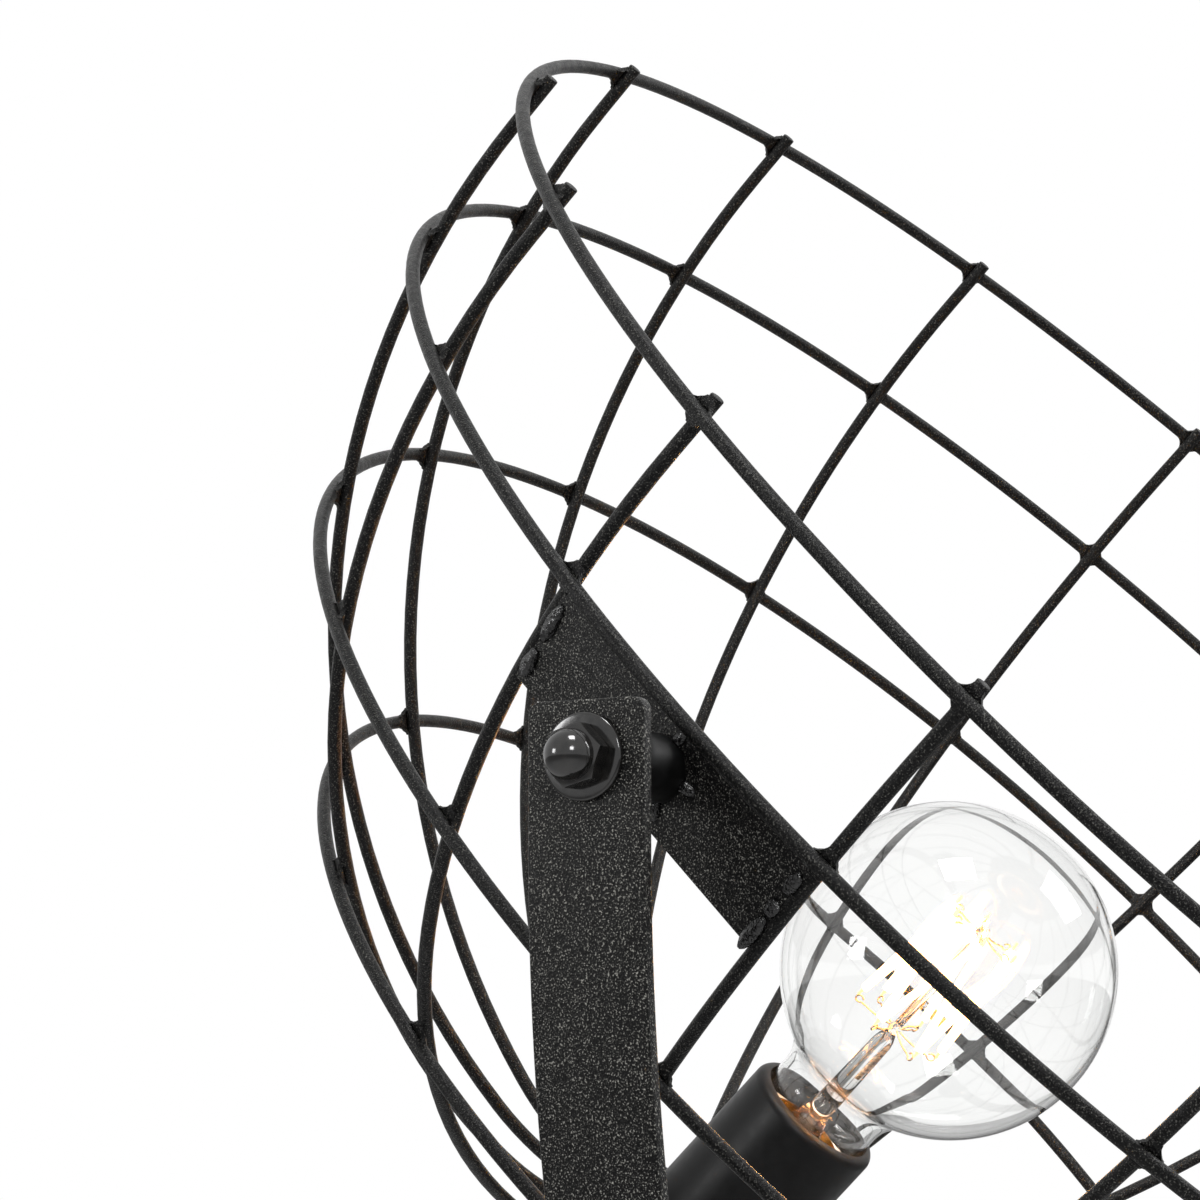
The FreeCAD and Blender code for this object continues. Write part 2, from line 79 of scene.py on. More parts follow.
# -------- sizes and colours
def grey(value):
    return (value, value, value)


def length(name, description, default):
    return FloatProperty(name=name, description=description, default=default, unit="LENGTH")


def tint(name, description, default):
    return FloatVectorProperty(name=name, description=description, default=default, subtype="COLOR", size=3)


class CageSizes(bpy.types.PropertyGroup):
    rim_radius: length("Rim radius", "Of the rim ring's centreline", 0.250)
    rim_height: length("Rim height", "Of the rim's plane above the tilt axis", 0.0665)
    wire: length("Wire", "Diameter of the cage's round wire", 0.0038)
    rib_count: IntProperty(name="Ribs", description="Ribs round the cage", default=16)
    rib_overrun: length("Rib ends", "How far the ribs stand past the rim", 0.005)
    weld_reach: length("Weld reach", "How far a weld fills the corner of two wires", 0.0024)


class PivotSizes(bpy.types.PropertyGroup):
    plate_thickness: length("Plate thickness", "Of the plates between the ribs", 0.003)
    plate_height: length("Plate height", "Of the plates between the ribs", 0.026)
    bead_width: length("Weld bead width", "Of the beads along the plates' ends", 0.0042)
    nut_width: length("Nut width", "Across the flats of the acorn nuts", 0.013)


class StandSizes(bpy.types.PropertyGroup):
    bar_width: length("Bar width", "Of the fork's flat bar", 0.030)
    bar_thickness: length("Bar thickness", "Of the fork's flat bar", 0.004)
    edge_round: length("Edge rounding", "On the fork bar's long edges", 0.0006)
    base_round: length("Base rounding", "On the base plate's top edge", 0.0016)


class HolderSizes(bpy.types.PropertyGroup):
    shell_radius: length("Shell radius", "Outside of the lampholder", 0.021)
    lip: length("Mouth rounding", "Of the lampholder's rolled mouth", 0.003)
    hub_radius: length("Hub radius", "Of the disc that carries the lampholder", 0.044)


class BulbSizes(bpy.types.PropertyGroup):
    globe_radius: length("Globe radius", "Outside of the bulb's globe", 0.048)
    glass: length("Glass thickness", "Of the globe", 0.0009)
    filament: length("Filament", "Thickness of the glowing wire", 0.0009)
    hook_pairs: IntProperty(name="Filament bends", description="Along each end of the zigzag", default=6)


class FinishColours(bpy.types.PropertyGroup):
    coat: tint("Powder coat", "Body of the sandy black coat", (0.0022, 0.0022, 0.0023))
    # The flecks are painted glints: pale grains in the colour that stand for light caught on the coat's sandy
    # bumps.
    painted_glint: tint("Coat flecks", "Pale grains in the coat", (0.30, 0.295, 0.27))
    glow: tint("Filament glow", "Colour of the lit filament", (1.0, 0.46, 0.12))
    glow_strength: FloatProperty(name="Glow strength", description="Of the lit filament", default=70.0)


class StudioSettings(bpy.types.PropertyGroup):
    floor_colour: tint("Floor", "Pale floor", grey(0.86))
    fill: FloatProperty(name="Fill light", description="Even light from all round", default=0.30)
    lens: FloatProperty(name="Lens", description="Focal length in millimetres", default=120.16)


# -------- the modeller's moves
def put_down():
    """Leaves edit mode and lets go of everything."""
    if bpy.context.mode != "OBJECT":
        bpy.ops.object.mode_set(mode="OBJECT")
    bpy.ops.object.select_all(action="DESELECT")


def take(obj, editing=False):
    put_down()
    obj.select_set(True)
    bpy.context.view_layer.objects.active = obj
    if editing:
        bpy.ops.object.mode_set(mode="EDIT")


def pick(kind, wanted):
    """Selects the vertices, edges or faces whose middle and direction pass the test."""
    bpy.ops.mesh.select_mode(type=kind)
    bpy.ops.mesh.select_all(action="DESELECT")
    mesh = bmesh.from_edit_mesh(bpy.context.edit_object.data)
    if kind == "FACE":
        found = [f for f in mesh.faces if wanted(f.calc_center_median(), f.normal)]
    elif kind == "EDGE":
        found = [e for e in mesh.edges
                 if wanted((e.verts[0].co + e.verts[1].co) / 2, (e.verts[1].co - e.verts[0].co).normalized())]
    else:
        found = [v for v in mesh.verts if wanted(v.co, v.normal)]
    for part in found:
        part.select_set(True)
    bmesh.update_edit_mesh(bpy.context.edit_object.data)


def pick_all():
    bpy.ops.mesh.select_all(action="SELECT")


def stretch(x, y, z, about=(0, 0, 0)):
    bpy.ops.transform.resize(value=(x, y, z), center_override=about)


def push(x, y, z):
    bpy.ops.mesh.extrude_region_move(TRANSFORM_OT_translate={"value": (x, y, z)})


def swing(angle, centre, axis=(0, 1, 0), steps=24):
    """Draws the picked end round a centre, by the right hand about the axis, in degrees."""
    bpy.ops.mesh.spin(steps=steps, angle=-radians(angle), center=centre, axis=axis)


def tidy_skin():
    """Merges doubled points and turns all the faces outwards."""
    pick_all()
    bpy.ops.mesh.remove_doubles(threshold=1e-6)
    bpy.ops.mesh.normals_make_consistent(inside=False)


def soften(width, segments=2, sharpness=35):
    """Rounds every sharp edge of the piece in hand."""
    bpy.ops.mesh.select_mode(type="EDGE")
    bpy.ops.mesh.select_all(action="DESELECT")
    bpy.ops.mesh.edges_select_sharp(sharpness=radians(sharpness))
    bpy.ops.mesh.bevel(offset=width, segments=segments, affect="EDGES")


def modify(obj, kind, **settings):
    """Adds one modifier and applies it."""
    take(obj)
    modifier = obj.modifiers.new(kind.lower(), kind)
    for name, value in settings.items():
        setattr(modifier, name, value)
    bpy.ops.object.modifier_apply(modifier=modifier.name)


def drill(obj, radius, middle, depth, turned=(0, 0, 0)):
    """Bores a round hole through the piece."""
    put_down()
    bpy.ops.mesh.primitive_cylinder_add(vertices=48, radius=radius, depth=depth, location=middle,
                                        rotation=turned)
    bit = bpy.context.object
    modify(obj, "BOOLEAN", operation="DIFFERENCE", solver="EXACT", object=bit)
    bpy.data.objects.remove(bit)


def hold_in_place(obj, matrix=standing):
    """Puts the piece where the matrix says and keeps that place in its mesh."""
    take(obj)
    obj.matrix_world = matrix @ obj.matrix_world
    bpy.ops.object.transform_apply(location=True, rotation=True, scale=True)
    return obj


def named(obj, name):
    obj.name = obj.data.name = name
    return obj


def set_down(name):
    """Ends the work on the piece in hand and names it."""
    put_down()
    return hold_in_place(named(bpy.context.view_layer.objects.active, name))


def another(obj, matrix):
    """A copy with its own mesh, moved by the matrix."""
    take(obj)
    bpy.ops.object.duplicate(linked=False)
    return hold_in_place(bpy.context.object, matrix)


def join_up(parts, name):
    take(parts[0])
    for part in parts:
        part.select_set(True)
    if len(parts) > 1:
        bpy.ops.object.join()
    return named(bpy.context.object, name)


def arc(centre, radius, start, end, steps):
    """Points of an arc in a (radius, height) outline, between two angles in degrees."""
    angles = [radians(start + (end - start) * i / steps) for i in range(steps + 1)]
    return [(centre[0] + radius * cos(a), centre[1] + radius * sin(a)) for a in angles]


def ridges(low, span, radius, depth, pitch=0.0036):
    """The ring-shaped ridges that stand for a lamp cap's rolled thread, as an outline."""
    heights = [low + span * i / 48 for i in range(49)]
    return [(radius + depth * cos(2 * pi * (z - low) / pitch), z) for z in heights]


def turn_piece(name, outline, sides=96):
    """Turns a piece about Z by drawing a hoop along its (radius, height) outline, as on a lathe."""
    put_down()
    starts_on_axis = outline[0][0] == 0
    path = outline[1:] if starts_on_axis else list(outline)
    if not starts_on_axis and outline[-1][0] > 0:
        path.append(path[0])
    radius, height = path[0]
    bpy.ops.mesh.primitive_circle_add(vertices=sides, radius=radius, location=(0, 0, height),
                                      enter_editmode=True)
    pick_all()
    for (wide, low), (next_wide, high) in zip(path, path[1:]):
        push(0, 0, high - low)
        if next_wide == 0:
            bpy.ops.mesh.merge(type="COLLAPSE")
        elif abs(next_wide - wide) > 1e-9:
            scale = next_wide / wide
            stretch(scale, scale, 1, about=(0, 0, high))
    if starts_on_axis:
        bpy.ops.mesh.select_all(action="DESELECT")
        bpy.ops.mesh.select_non_manifold(extend=False)
        push(0, 0, outline[0][1] - height)
        bpy.ops.mesh.merge(type="COLLAPSE")
    tidy_skin()
    return set_down(name)


def hoop(name, radius, height, wire, steps=192):
    """A ring of round wire: a small circle swung once round the axis."""
    put_down()
    bpy.ops.mesh.primitive_circle_add(vertices=16, radius=wire / 2, location=(radius, 0, height),
                                      rotation=(pi / 2, 0, 0), enter_editmode=True)
    pick_all()
    swing(360, (0, 0, 0), axis=(0, 0, 1), steps=steps)
    tidy_skin()
    return set_down(name)


def hexagon(name, width, low, high, chamfer=0.0009):
    """A hexagonal block with its corners turned off top and bottom."""
    corner = width / sqrt(3)
    put_down()
    bpy.ops.mesh.primitive_cylinder_add(vertices=6, radius=corner, depth=high - low,
                                        location=(0, 0, (low + high) / 2))
    block = hold_in_place(bpy.context.object)
    slope = 0.55 * chamfer
    blank = turn_piece(name + "_blank", [(0, low), (corner - chamfer, low), (corner + 1e-4, low + slope),
                                         (corner + 1e-4, high - slope), (corner - chamfer, high), (0, high)])
    modify(block, "BOOLEAN", operation="INTERSECT", object=blank)
    bpy.data.objects.remove(blank)
    return named(block, name)


def bent_wire(name, points, thickness, kind="POLY"):
    """A round wire through the points."""
    put_down()
    path = bpy.data.curves.new(name, "CURVE")
    path.dimensions = "3D"
    path.bevel_depth = thickness / 2
    path.bevel_resolution = 3
    path.use_fill_caps = True
    line = path.splines.new(kind)
    line.points.add(len(points) - 1)
    for point, place in zip(line.points, points):
        point.co = (*place, 1)
    if kind == "NURBS":
        line.order_u = 3
        line.use_endpoint_u = True
        line.resolution_u = 6
    obj = bpy.data.objects.new(name, path)
    bpy.context.scene.collection.objects.link(obj)
    take(obj)
    bpy.ops.object.convert(target="MESH")
    return bpy.context.object


def lay_along_x(obj, start, side=1):
    """Lays a piece made up Z along +X or -X, from start."""
    turned_over = Matrix.Rotation(side * pi / 2, 4, "Y")
    return hold_in_place(obj, move(side * start, 0, 0) @ turned_over)


def dress(obj, body, slot, coat, *nodes, place=standing, angle=40):
    """Puts a finished piece in place, smooths and paints it, and lets it stand for its solids."""
    hold_in_place(obj, place)
    bpy.ops.object.shade_smooth_by_angle(angle=radians(angle))
    obj.data.materials.clear()
    obj.data.materials.append(finish(coat))
    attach(obj, body)
    if nodes:
        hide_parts(*nodes)


def on_head(obj, slot, coat, *nodes, angle=40):
    dress(obj, "head", slot, coat, *nodes, place=cage_place, angle=angle)


# -------- finishes
def add_node(tree, kind, **values):
    """A shader node with some of its sockets set."""
    node = tree.nodes.new(kind)
    for name, value in values.items():
        node.inputs[name.replace("_", " ")].default_value = value
    return node


def mix_shaders(tree, share, first, second, target):
    mixed = tree.nodes.new("ShaderNodeMixShader")
    for source, socket in ((share, "Fac"), (first.outputs[0], 1), (second.outputs[0], 2)):
        tree.links.new(source, mixed.inputs[socket])
    tree.links.new(mixed.outputs[0], target)


class Finish:
    """A material whose pattern follows the piece's own Object coordinates."""

    def __init__(self, name):
        self.material = bpy.data.materials.new(name)
        self.material.use_nodes = True
        self.tree = self.material.node_tree
        self.tree.nodes.clear()
        self.output = self.tree.nodes.new("ShaderNodeOutputMaterial")
        self.shader = self.tree.nodes.new("ShaderNodeBsdfPrincipled")
        self.link(self.shader.outputs[0], self.output.inputs["Surface"])
        self.place = self.tree.nodes.new("ShaderNodeTexCoord").outputs["Object"]

    def link(self, source, target):
        self.tree.links.new(source, target)

    def set(self, **values):
        for name, value in values.items():
            self.shader.inputs[name.replace("_", " ")].default_value = value
        return self

    def grain(self, scale, detail=3.0, roughness=0.55):
        noise = add_node(self.tree, "ShaderNodeTexNoise", Scale=scale, Detail=detail, Roughness=roughness)
        self.link(self.place, noise.inputs["Vector"])
        return noise.outputs["Fac"]

    def colour(self, source, *stops):
        ramp = self.tree.nodes.new("ShaderNodeValToRGB")
        marks = ramp.color_ramp.elements
        while len(marks) < len(stops):
            marks.new(0.5)
        for mark, (position, value) in zip(marks, stops):
            mark.position = position
            mark.color = (*value, 1)
        self.link(source, ramp.inputs["Fac"])
        self.link(ramp.outputs["Color"], self.shader.inputs["Base Color"])
        return ramp.outputs["Color"]

    def gloss(self, source, low, high):
        spread = add_node(self.tree, "ShaderNodeMapRange", From_Min=0.3, From_Max=0.7,
                          To_Min=low, To_Max=high)
        self.link(source, spread.inputs["Value"])
        self.link(spread.outputs["Result"], self.shader.inputs["Roughness"])

    def relief(self, source, strength, depth):
        bump = add_node(self.tree, "ShaderNodeBump", Strength=strength, Distance=depth)
        self.link(source, bump.inputs["Height"])
        self.link(bump.outputs["Normal"], self.shader.inputs["Normal"])


def shade(colour, factor):
    return tuple(min(1.0, c * factor) for c in colour[:3])


def powder_coat(colours, name="sandy powder coat", glint_share=1.0):
    """Fine sandy black powder coat, with painted glints: pale grains that stand for the light caught on its
    sandy bumps.
    """
    coat = Finish(name)
    sand = coat.grain(2300, detail=1.0, roughness=0.5)
    # The two palest stops paint glints of light on the highest grains, the same grains that the bump raises.
    coat.colour(sand, (0.40, shade(colours.coat, 0.5)), (0.53, shade(colours.coat, 2.0)),
                (0.62, shade(colours.painted_glint, 0.16 * glint_share)), (0.74, shade(colours.painted_glint, glint_share)))
    coat.gloss(coat.grain(420, detail=2.0), 0.30, 0.46)
    coat.relief(sand, 0.8, 0.0003)
    return coat.set(Specular_IOR_Level=0.13).material


def smooth_coat(colours):
    """The same black on the lampholder, where it is satin and has hardly any grain."""
    coat = Finish("satin black coat")
    mottle = coat.grain(260, detail=4.0)
    coat.colour(mottle, (0.35, shade(colours.coat, 0.8)), (0.65, shade(colours.coat, 1.7)))
    coat.gloss(mottle, 0.36, 0.46)
    coat.relief(coat.grain(1800, detail=2.0), 0.10, 0.0001)
    return coat.set(Specular_IOR_Level=0.18).material


def weld_coat(colours):
    """Powder coat that has flowed glossy over the rough weld metal."""
    coat = Finish("glossy coat on welds")
    lumps = coat.grain(700, detail=2.0)
    coat.colour(lumps, (0.35, shade(colours.coat, 0.7)), (0.7, shade(colours.coat, 2.2)))
    coat.gloss(coat.grain(300), 0.10, 0.24)
    coat.relief(lumps, 0.9, 0.0009)
    return coat.set(Specular_IOR_Level=0.5).material


def black_steel(colours):
    """Glossy blackened steel of the acorn nuts and washers."""
    steel = Finish("glossy black steel")
    mottle = steel.grain(380, detail=4.0)
    steel.colour(mottle, (0.35, grey(0.004)), (0.68, (0.014, 0.013, 0.012)))
    steel.gloss(mottle, 0.07, 0.17)
    steel.relief(steel.grain(900), 0.05, 0.0001)
    return steel.set(Specular_IOR_Level=0.6).material


def plated_metal(name, dark, bright, low=0.22, high=0.38, scale=300):
    metal = Finish(name)
    mottle = metal.grain(scale, detail=5.0)
    metal.colour(mottle, (0.32, dark), (0.68, bright))
    metal.gloss(mottle, low, high)
    metal.relief(metal.grain(1600), 0.06, 0.0001)
    return metal.set(Metallic=1.0).material


def dull_solid(name, dark, bright, low, high, scale=500, depth=0.0002, specular=0.4):
    """Ceramic, rubber and moulded plastics."""
    stuff = Finish(name)
    mottle = stuff.grain(scale, detail=4.0)
    stuff.colour(mottle, (0.34, dark), (0.66, bright))
    stuff.gloss(mottle, low, high)
    stuff.relief(mottle, 0.2, depth)
    return stuff.set(Specular_IOR_Level=specular).material


def clear_glass():
    """Clear blown glass with faint ripples."""
    glass = Finish("clear blown glass")
    waves = glass.grain(22, detail=1.0)
    glass.colour(waves, (0.3, (0.975, 0.98, 0.975)), (0.7, (0.995, 0.995, 0.99)))
    glass.relief(waves, 0.10, 0.002)
    glass.set(Transmission_Weight=1.0, Roughness=0.0, IOR=1.46)
    # Light from the filament and the studio passes straight through the thin glass.
    passing = glass.tree.nodes.new("ShaderNodeBsdfTransparent")
    rays = glass.tree.nodes.new("ShaderNodeLightPath")
    mix_shaders(glass.tree, rays.outputs["Is Shadow Ray"], glass.shader, passing,
                glass.output.inputs["Surface"])
    return glass.material


def glowing_wire(colours, name="glowing filament", factor=1.0):
    """The lit filament, a little uneven along its length."""
    wire = Finish(name)
    unevenness = wire.grain(260, detail=2.0)
    hot = wire.colour(unevenness, (0.3, shade(colours.glow, 0.8)), (0.7, colours.glow[:]))
    wire.link(hot, wire.shader.inputs["Emission Color"])
    wire.set(Emission_Strength=colours.glow_strength * factor, Roughness=0.5)
    return wire.material


FINISHES = {
    "powder": powder_coat,
    # On the thin wires the painted glints are about a third as bright.
    "wire": lambda c: powder_coat(c, "sandy powder coat on wire", 0.32),
    "satin": smooth_coat,
    "weld": weld_coat,
    "black_steel": black_steel,
    "zinc": lambda c: plated_metal("zinc plated steel", (0.42, 0.42, 0.41), (0.66, 0.66, 0.64)),
    "shell": lambda c: plated_metal("brass screw shell", (0.50, 0.24, 0.05), (0.80, 0.45, 0.12), 0.14, 0.26),
    "brass": lambda c: plated_metal("brass contact", (0.62, 0.42, 0.14), (0.82, 0.60, 0.25), 0.2, 0.32),
    "lamp_wire": lambda c: plated_metal("support wire", (0.42, 0.26, 0.14), (0.66, 0.44, 0.26),
                                        0.2, 0.35, 900),
    "solder": lambda c: plated_metal("solder tip", (0.42, 0.42, 0.43), (0.58, 0.58, 0.60), 0.28, 0.42, 700),
    "ceramic": lambda c: dull_solid("glazed ceramic", (0.70, 0.69, 0.65), (0.83, 0.82, 0.79),
                                    0.12, 0.24, 300),
    "insulator": lambda c: dull_solid("black insulator", grey(0.006), grey(0.02), 0.3, 0.5),
    "nylon": lambda c: dull_solid("black nylon", grey(0.010), grey(0.022), 0.4, 0.55),
    "rubber": lambda c: dull_solid("pad rubber", grey(0.010), grey(0.03), 0.7, 0.9, 900),
    "glass": lambda c: clear_glass(),
    "glow": glowing_wire,
    "ember": lambda c: glowing_wire(c, "warm filament end", 0.05),
}
painted = {}


def finish(name):
    """Each finish is mixed once and then shared."""
    if name not in painted:
        painted[name] = FINISHES[name](bpy.context.scene.lamp_finishes)
    return painted[name]


# -------- the cage
RIB_LANDS = 0.04495  # from the cage axis to where a rib turns flat under the hub
RIB_ENDS = 0.022


class CageLines:
    """The lines that the cage's wires follow, in its own frame."""

    def __init__(self, sizes):
        self.wire = sizes.wire
        self.rim_radius = sizes.rim_radius
        self.rim_z = sizes.rim_height
        self.bowl_z = sizes.rim_height - 0.0107
        self.offset = 0.010
        self.ring_arc = sizes.rim_radius - self.offset
        self.rib_arc = self.ring_arc - sizes.wire
        self.half_pitch = 180 / sizes.rib_count
        self.blend_from = 75.0
        lean = cos(radians(self.blend_from))
        self.blend_radius = (self.offset + self.rib_arc * lean - RIB_LANDS) / lean
        self.ring_angles = (9.7, 28.3, 47.6)

    def ring(self, angle):
        turn = radians(angle)
        return self.offset + self.ring_arc * cos(turn), self.bowl_z - self.ring_arc * sin(turn)

    def blend_centre(self):
        turn = radians(self.blend_from)
        reach = self.rib_arc - self.blend_radius
        return self.offset + reach * cos(turn), 0, self.bowl_z - reach * sin(turn)

    def rib_turn(self, number):
        return roll(self.half_pitch * (2 * number + 1), "Z")


class LAMP_OT_rings(bpy.types.Operator):
    """Swing the rim ring and the three rings of the bowl from round wire"""
    bl_idname = "lamp.rings"
    bl_label = "Rings"

    def execute(self, context):
        lines = CageLines(context.scene.lamp_cage)
        rings = {"rim_ring": (lines.rim_radius, lines.rim_z)}
        for name, angle in zip(("upper", "middle", "lower"), lines.ring_angles):
            rings["cage_ring_" + name] = lines.ring(angle)
        for name, (radius, height) in rings.items():
            ring = hoop("wire_" + name, radius, height, lines.wire)
            on_head(ring, "powder_coat", "wire", name)
        return {"FINISHED"}


class LAMP_OT_ribs(bpy.types.Operator):
    """Bend one rib from round wire and set copies of it round the cage"""
    bl_idname = "lamp.ribs"
    bl_label = "Ribs"

    def execute(self, context):
        sizes = context.scene.lamp_cage
        lines = CageLines(sizes)
        top = lines.rim_z + sizes.rib_overrun
        rib_x = lines.rim_radius - lines.wire
        put_down()
        bpy.ops.mesh.primitive_circle_add(vertices=16, radius=lines.wire / 2, location=(rib_x, 0, top),
                                          enter_editmode=True)
        pick_all()
        push(0, 0, lines.bowl_z - top)
        swing(lines.blend_from, (lines.offset, 0, lines.bowl_z), steps=36)
        swing(90 - lines.blend_from, lines.blend_centre(), steps=6)
        push(RIB_ENDS - RIB_LANDS, 0, 0)
        pick_all()
        bpy.ops.mesh.fill_holes(sides=0)
        bpy.ops.mesh.normals_make_consistent(inside=False)
        soften(0.0003, segments=2, sharpness=60)
        rib = set_down("rib")
        for number in range(sizes.rib_count):
            name = f"cage_rib_{number + 1:02d}"
            piece = named(another(rib, lines.rib_turn(number)), "wire_" + name)
            on_head(piece, "powder_coat", "wire", name)
        bpy.data.objects.remove(rib)
        return {"FINISHED"}


class LAMP_OT_crossing_welds(bpy.types.Operator):
    """Fill the corners where the ribs cross the rings with small hollow-sided welds"""
    bl_idname = "lamp.crossing_welds"
    bl_label = "Crossing welds"

    def execute(self, context):
        sizes = context.scene.lamp_cage
        lines = CageLines(sizes)
        across = sizes.wire + 2 * sizes.weld_reach
        put_down()
        bpy.ops.mesh.primitive_cube_add(size=across, enter_editmode=True)
        pick_all()
        stretch(0.36 * sizes.wire / across, 0.94, 0.94)
        pick("EDGE", lambda middle, way: abs(way.x) > 0.9)
        bpy.ops.mesh.bevel(offset=sizes.weld_reach, segments=5, profile=0.125, affect="EDGES")
        for along_rib, shift in ((False, 0.0007), (True, -0.0007)):
            pick("VERT", lambda place, way: (abs(place.z) > abs(place.y)) == along_rib
                 and max(abs(place.y), abs(place.z)) > 0.8 * sizes.wire)
            bpy.ops.transform.translate(value=(shift, 0, 0))
        pick("EDGE", lambda middle, way: abs(way.x) < 0.3)
        bpy.ops.mesh.bevel(offset=0.0003, segments=2, affect="EDGES")
        weld = set_down("weld")
        crossings = [(lines.rim_radius - sizes.wire / 2, lines.rim_z, 0.0)]
        for angle in lines.ring_angles:
            turn = radians(angle)
            between = lines.ring_arc - sizes.wire / 2
            crossings.append((lines.offset + between * cos(turn),
                              lines.bowl_z - between * sin(turn), turn))
        welds = []
        for radius, height, turn in crossings:
            at_rib = move(radius, 0, height) @ Matrix.Rotation(turn, 4, "Y")
            welds += [another(weld, lines.rib_turn(n) @ at_rib) for n in range(sizes.rib_count)]
        bpy.data.objects.remove(weld)
        on_head(join_up(welds, "crossing_welds"), "powder_coat", "wire")
        return {"FINISHED"}


# -------- the tilt pivot
PLATE_X = 0.23491  # of a pivot plate's middle
PLATE_LEAN = radians(13.41)
PLATE_HALF = 0.04673  # half its length
BOSS_X, BOSS_LENGTH = 0.22941, 0.03509
BOSS_EDGE = 0.0005
FRICTION_X = 0.2645
ARM_FACE_X = 0.2695
NUT_SEAT_X = 0.2711
PIVOT_BORE = 0.0041  # radius of every bore round a pivot bolt
BORE_DEPTH = 0.6  # right through both arms
STAND_BORE = 0.00525  # radius of every bore round a stand bolt


def weld_bead(length, width, height, seed):
    """A lumpy bead of weld metal, long in Y."""
    put_down()
    bpy.ops.mesh.primitive_uv_sphere_add(segments=20, ring_count=14, radius=0.5, rotation=(pi / 2, 0, 0))
    bead = hold_in_place(bpy.context.object)
    take(bead, editing=True)
    pick_all()
    stretch(height, length, width)
    bpy.ops.transform.vertex_random(offset=width * 0.10, uniform=0.3, normal=1.0, seed=seed)
    bpy.ops.mesh.vertices_smooth(factor=0.5, repeat=3)
    put_down()
    return bead


class LAMP_OT_pivot_plates(bpy.types.Operator):
    """Cut the two plates between the ribs beside the arms, and weld them in"""
    bl_idname = "lamp.pivot_plates"
    bl_label = "Pivot plates and their welds"

    def execute(self, context):
        sizes = context.scene.lamp_pivot
        put_down()
        bpy.ops.mesh.primitive_cube_add(size=1, enter_editmode=True)
        pick_all()
        stretch(sizes.plate_thickness, 2 * PLATE_HALF, sizes.plate_height)
        for end, factor in ((1, 1.0113), (-1, 0.9857)):
            pick("VERT", lambda place, way: place.z * end > 0)
            stretch(1, factor, 1)
        soften(0.0004)
        plate = set_down("plate")
        lean = move(PLATE_X, 0, 0) @ Matrix.Rotation(PLATE_LEAN, 4, "Y")
        face = sizes.plate_thickness / 2
        bead = sizes.bead_width
        # Each bead: place along the plate, place up it, length, turn in degrees.
        beads = ((0.0447, 0.0045, 0.0115, 86), (0.0440, -0.0075, 0.0085, 84), (-0.0447, 0.0075, 0.0070, 96),
                 (-0.0443, -0.0010, 0.0050, 92), (-0.0437, -0.0095, 0.0110, 95))
        for side, name in ((1, "right"), (-1, "left")):
            piece = another(plate, lean)
            if side < 0:
                piece = mirrored(piece)
            named(piece, "plate_" + name)
            on_head(piece, "powder_coat", "powder", "pivot_plate_" + name)
            welds = []
            for number, (along, up, length, turn) in enumerate(beads):
                lump = weld_bead(length, bead, bead * 0.72, 11 + number)
                seat = move(face + 0.0002, along, up) @ roll(turn, "X")
                welds.append(hold_in_place(lump, lean @ seat))
            for number in range(5):
                turn = radians(72 * number + 20)
                lump = weld_bead(0.0075, 0.0036, 0.0034, 31 + number)
                seat = (move(face, 0.0086 * cos(turn), 0.0086 * sin(turn))
                        @ Matrix.Rotation(turn, 4, "X"))
                welds.append(hold_in_place(lump, lean @ seat))
            bead_row = join_up(welds, "weld_beads_" + name)
            if side < 0:
                bead_row = mirrored(bead_row)
            on_head(bead_row, "powder_coat", "weld", angle=80)
        bpy.data.objects.remove(plate)
        return {"FINISHED"}


def mirrored(obj):
    """The piece seen in a mirror at X = 0, with its faces outwards."""
    hold_in_place(obj, Matrix.Scale(-1, 4, (1, 0, 0)))
    take(obj, editing=True)
    pick_all()
    bpy.ops.mesh.normals_make_consistent(inside=False)
    put_down()
    return obj


